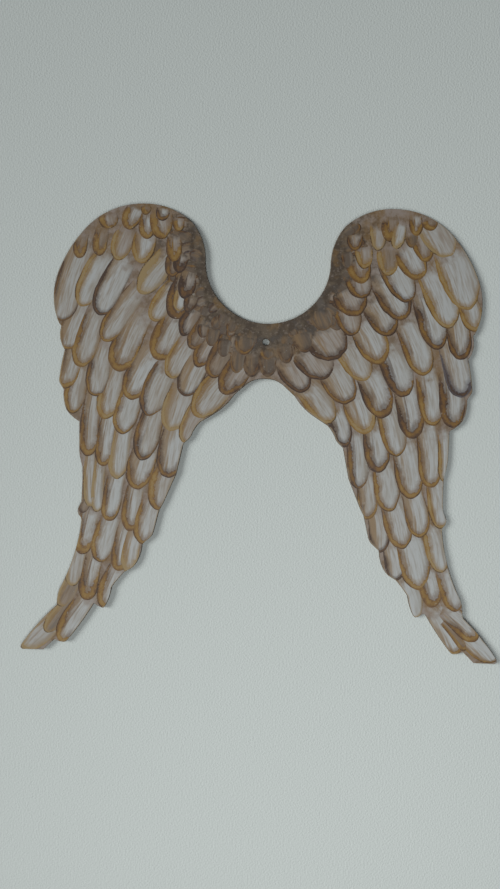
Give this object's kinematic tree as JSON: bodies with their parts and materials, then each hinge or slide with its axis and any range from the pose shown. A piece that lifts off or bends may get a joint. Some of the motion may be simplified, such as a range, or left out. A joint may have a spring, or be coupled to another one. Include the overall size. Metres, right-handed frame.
{
  "type": "angel wings wall plaque",
  "caption": "Flat painted board sawn to the outline of a pair of feathered wings joined by a yoke, with a round hole in the yoke to hang it on a wall.",
  "frame": {"origin": "on the axis of the hanging hole in the yoke, in the plane of the board's back face", "axes": "+X across the span from the left wing to the right wing, +Y up the plaque from the wing tips to the shoulders, +Z out of the painted face"},
  "size_m": [0.6002, 0.567, 0.006],
  "materials": {
    "painted_board": "satin"
  },
  "bodies": {
    "root": {"wing_board": "painted_board"}
  },
  "joints": []
}
